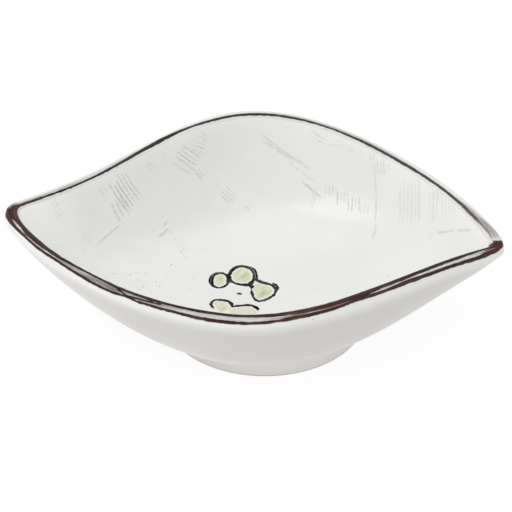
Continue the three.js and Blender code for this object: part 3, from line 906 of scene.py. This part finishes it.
extent = add(tree, "SeparateXYZ", (add(tree, "Attribute", attribute_name="wash").outputs["Vector"],))
gone = add(tree, "Math", (inner.outputs["X"], extent.outputs["Y"]), operation="DIVIDE")
fades = add(tree, "MapRange", (gone, *WASH_FADE, 1, 0), interpolation_type="SMOOTHSTEP")
from_line = add(tree, "MapRange", (inner.outputs["X"], -0.2, 0.1, WASH_HEM, 1))
to_line = add(tree, "MapRange", (outer.outputs["X"], -0.1, 0.15, 1, 0))
streaky = add(tree, "MapRange", (streaks, 0.36, 0.62, *WASH_STREAKS))
washed = extent.outputs["X"]
for factor in (fades, from_line, to_line, streaky):
    washed = add(tree, "Math", (washed, factor), operation="MULTIPLY")
wash_tone = add(tree, "MixRGB", (inner.outputs["Z"], linear(WASH_GREY), linear(WASH_BROWN)))
colour = add(tree, "MixRGB", (washed, colour, wash_tone))
for _, depth in lines.values():
    fringe = add(tree, "MapRange", (depth, *FRINGE_SPREAD, 0, FRINGE_STRENGTH))
    fringe = add(tree, "Math", (fringe, extent.outputs["Z"]), operation="MULTIPLY")
    colour = add(tree, "MixRGB", (fringe, colour, linear(FRINGE)))
for field, (stroke, depth) in lines.items():
    toned = add(tree, "MixRGB", (stroke.outputs["Z"], linear(LINE_DARKS[field]), linear(FIRED_BROWN)))
    line = add(tree, "MapRange", (depth, *LINE_SPREAD, 0, LINE_STRENGTH))
    thin = add(tree, "MapRange", (streaks, 0.34, 0.48, 0.92, 1))
    line = add(tree, "Math", (line, thin), operation="MULTIPLY")
    if field == "inner_line":
        line = add(tree, "Math", (line, extent.outputs["Z"]), operation="MULTIPLY")
    colour = add(tree, "MixRGB", (line, colour, toned))
shader.inputs["Specular IOR Level"].default_value = SLIP_GLOSS
tree.links.new(colour.outputs[0], shader.inputs["Base Color"])
band.data.materials.append(slip)

# The foot. A coil of the same clay, luted under the bowl and turned true on the wheel: glazed on its
# outer face, with softly rounded edges, and bare where it stands and round the recess inside it.
FOOT_RADIUS = (foot_high[0] - foot_low[0]) / 2
FOOT_WIDTH = 5
FOOT_ROUND = 0.5
FOOT_FILLET = 0.7
FILLET_FROM = 0.84
FOOT_INTO_BOWL = 0.15
ROUND_STEPS = 6
CLIMB_STEPS = 22
foot_inner = FOOT_RADIUS - FOOT_WIDTH


def foot_circle(radius, base, climb):
    """A ring about the foot's axis: climb is its share of the way from the base to the bowl."""
    circle = underside(turns, np.full(COLUMNS, radius))
    circle[:, 2] = base + (circle[:, 2] + FOOT_INTO_BOWL - base) * climb
    return circle


quarter = np.linspace(0, math.pi / 2, ROUND_STEPS)
climbs = np.linspace(0, 1, CLIMB_STEPS)
fillet = FOOT_FILLET * np.clip((climbs - FILLET_FROM) / (1 - FILLET_FROM), 0, 1) ** 2
foot_profile = [
    *[(foot_inner + FOOT_ROUND * (1 - np.sin(a)), FOOT_ROUND * (1 - np.cos(a)), 0) for a in quarter[::-1]],
    *[(foot_inner + FOOT_ROUND + (FOOT_WIDTH - 2 * FOOT_ROUND) * t, 0, 0) for t in (0.25, 0.5, 0.75)],
    *[(FOOT_RADIUS - FOOT_ROUND * (1 - np.sin(a)), FOOT_ROUND * (1 - np.cos(a)), 0) for a in quarter],
    *[(FOOT_RADIUS + f, FOOT_ROUND, climb) for climb, f in zip(climbs[1:], fillet[1:])],
    *[(FOOT_RADIUS - FOOT_WIDTH * t, FOOT_ROUND, 1) for t in (0.3, 0.7, 1)],
    *[(foot_inner, FOOT_ROUND, climb) for climb in climbs[-2:0:-3]],
]
foot = skin("turned_foot", np.stack([foot_circle(*ring) for ring in foot_profile]))
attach(foot, "root")
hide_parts("foot_ring")

# The glaze is a little warmer on the foot, with the same satin shine, and painted lighter than the body's
# white: painted light against the shade under the bowl. Where it was wiped off, on the standing face and
# round the recess, the buff clay is dry and grainy.
FOOT_PAINTED_LIGHT_THIN = "#faf7f3"
FOOT_PAINTED_LIGHT_THICK = "#fcfaf7"
BARE_PALE = "#cdbb9f"
BARE_DARK = "#bea889"
GRAIN_WIDTH = 0.8 * MM
WIPED_HEIGHT = (0.3 * MM, 0.7 * MM)
BARE_REACH = ((foot_inner + 0.4) * MM, (foot_inner + 0.9) * MM)
foot_glaze, tree, shader, colour = glazed("thin_glaze_on_turned_clay", FOOT_PAINTED_LIGHT_THIN, FOOT_PAINTED_LIGHT_THICK)
place = add(tree, "TexCoord").outputs["Object"]
height = add(tree, "SeparateXYZ", (place,)).outputs["Z"]
wiped = add(tree, "MapRange", (height, *WIPED_HEIGHT, 1, 0))
from_axis = add(tree, "Mapping", {"Vector": place, "Location": -Vector(foot_axis) * MM, "Scale": (1, 1, 0)})
away = add(tree, "VectorMath", (from_axis,), operation="LENGTH").outputs["Value"]
within = add(tree, "MapRange", (away, *BARE_REACH, 1, 0))
bare = add(tree, "Math", (wiped, within), operation="MAXIMUM")
grain = add(tree, "TexNoise", {"Vector": place, "Scale": 1 / GRAIN_WIDTH, "Detail": 3})
clay = add(tree, "MixRGB", (grain, linear(BARE_PALE), linear(BARE_DARK)))
colour = add(tree, "MixRGB", (bare, colour, clay))
tree.links.new(colour.outputs[0], shader.inputs["Base Color"])
foot.data.materials.append(foot_glaze)

# The floor is a plain sheet of white paper that keeps the dish's soft shadow. To the camera and in
# the glaze's reflections it mostly glows, so that it comes out as white as the room behind it.
FLOOR_HALF = 1.5
PAPER_WHITE = "#f8f8f8"
PAPER_GLOW = 0.9
PAPER_SHADE = 0.15
floor_mesh = bpy.data.meshes.new("floor")
floor_mesh.from_pydata(
    [(x * FLOOR_HALF, y * FLOOR_HALF, 0) for x, y in ((-1, -1), (1, -1), (1, 1), (-1, 1))],
    [], [(0, 1, 2, 3)],
)
floor = bpy.data.objects.new("floor", floor_mesh)
bpy.context.scene.collection.objects.link(floor)
paper = bpy.data.materials.new("white_paper")
paper.use_nodes = True
tree = paper.node_tree
tree.nodes.clear()
rays = add(tree, "LightPath")
eye_or_glaze = rays.outputs["Is Camera Ray"], rays.outputs["Is Glossy Ray"]
seen = add(tree, "Math", eye_or_glaze, operation="MAXIMUM")
matt = add(tree, "BsdfDiffuse", (linear(PAPER_WHITE),))
shaded = add(tree, "BsdfDiffuse", ((PAPER_SHADE, PAPER_SHADE, PAPER_SHADE, 1),))
glow = add(tree, "Emission", ((1, 1, 1, 1), PAPER_GLOW))
lit = add(tree, "AddShader", (shaded, glow))
surface = add(tree, "MixShader", (seen, matt, lit))
add(tree, "OutputMaterial", (surface,))
floor_mesh.materials.append(paper)

# The light is a bright plain room, one large soft lamp high on the left, and a weaker one low in
# front that lifts the shade under the near wall.
ROOM_LIGHT = 0.64
world = bpy.data.worlds.new("soft_room")
bpy.context.scene.world = world
world.use_nodes = True
tree = world.node_tree
tree.nodes.clear()
rays = add(tree, "LightPath")
room = add(tree, "Background", ((1, 1, 1, 1), ROOM_LIGHT))
white = add(tree, "Background", ((1, 1, 1, 1), 1))
backdrop = add(tree, "MixShader", (rays.outputs["Is Camera Ray"], room, white))
add(tree, "OutputWorld", (backdrop,))


def backwards(azimuth, elevation):
    """The direction back from the dish at this azimuth and elevation in degrees."""
    a, e = math.radians(azimuth), math.radians(elevation)
    return Vector((math.sin(a) * math.cos(e), -math.cos(a) * math.cos(e), math.sin(e)))


def softbox(name, azimuth, elevation, distance, size, watts):
    """A square area lamp facing the dish from this direction and distance in metres."""
    lamp = bpy.data.lights.new(name, "AREA")
    lamp.energy = watts
    lamp.size = size
    holder = bpy.data.objects.new(name, lamp)
    bpy.context.scene.collection.objects.link(holder)
    back = backwards(azimuth, elevation)
    holder.location = back * distance
    holder.rotation_euler = back.to_track_quat("Z", "Y").to_euler()


softbox("key_softbox", -60, 68, 0.9, 0.7, 3.4)
softbox("front_fill", 5, 6, 1.2, 1.0, 2.1)

# The camera stands where the photograph was taken from: its angles in degrees and its distance,
# target and lens in mm were fitted to the outlines of the lip and the foot.
VIEW_AZIMUTH = 4.294
VIEW_ELEVATION = 34.884
VIEW_DISTANCE = 612.2
VIEW_TARGET = (mouth_centre[0] + 0.53, mouth_centre[1] + 3.22, 20)
VIEW_LENS = 137.98
back = backwards(VIEW_AZIMUTH, VIEW_ELEVATION)
camera = bpy.data.objects.new("camera", bpy.data.cameras.new("camera"))
bpy.context.scene.collection.objects.link(camera)
camera.data.lens = VIEW_LENS
camera.data.sensor_width = 36
camera.data.clip_start = 0.01
camera.location = (Vector(VIEW_TARGET) + back * VIEW_DISTANCE) * MM
camera.rotation_euler = back.to_track_quat("Z", "Y").to_euler()
bpy.context.scene.camera = camera
bpy.context.scene.view_settings.view_transform = "Standard"
